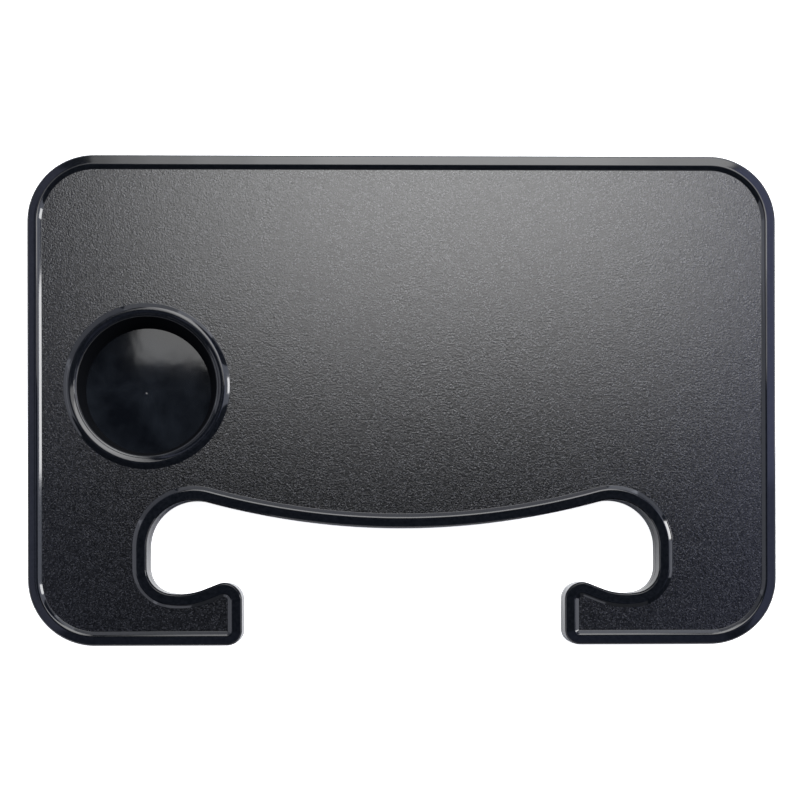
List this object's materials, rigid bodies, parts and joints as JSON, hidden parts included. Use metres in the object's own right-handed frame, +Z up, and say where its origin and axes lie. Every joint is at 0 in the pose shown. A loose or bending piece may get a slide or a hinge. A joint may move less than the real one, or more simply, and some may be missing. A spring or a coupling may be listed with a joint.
{
  "type": "steering wheel tray",
  "caption": "Flat hollow plastic tray with a raised rim, a round cup well and a hooked slot that hangs it on a car's steering wheel.",
  "frame": {"origin": "middle of the tray's footprint, on the surface that it lies on", "axes": "+X along the tray's width, away from the cup well; +Y from the slotted front edge to the back edge; +Z up, out of the panel with the cup well"},
  "size_m": [0.425, 0.278, 0.023],
  "materials": {
    "top_plastic": "fine stippled black ABS panel with a polished rim and cup well",
    "bottom_plastic": "fine stippled black ABS panel with a polished rim"
  },
  "bodies": {
    "root": {"top_shell": "top_plastic", "bottom_shell": "bottom_plastic"}
  },
  "joints": []
}
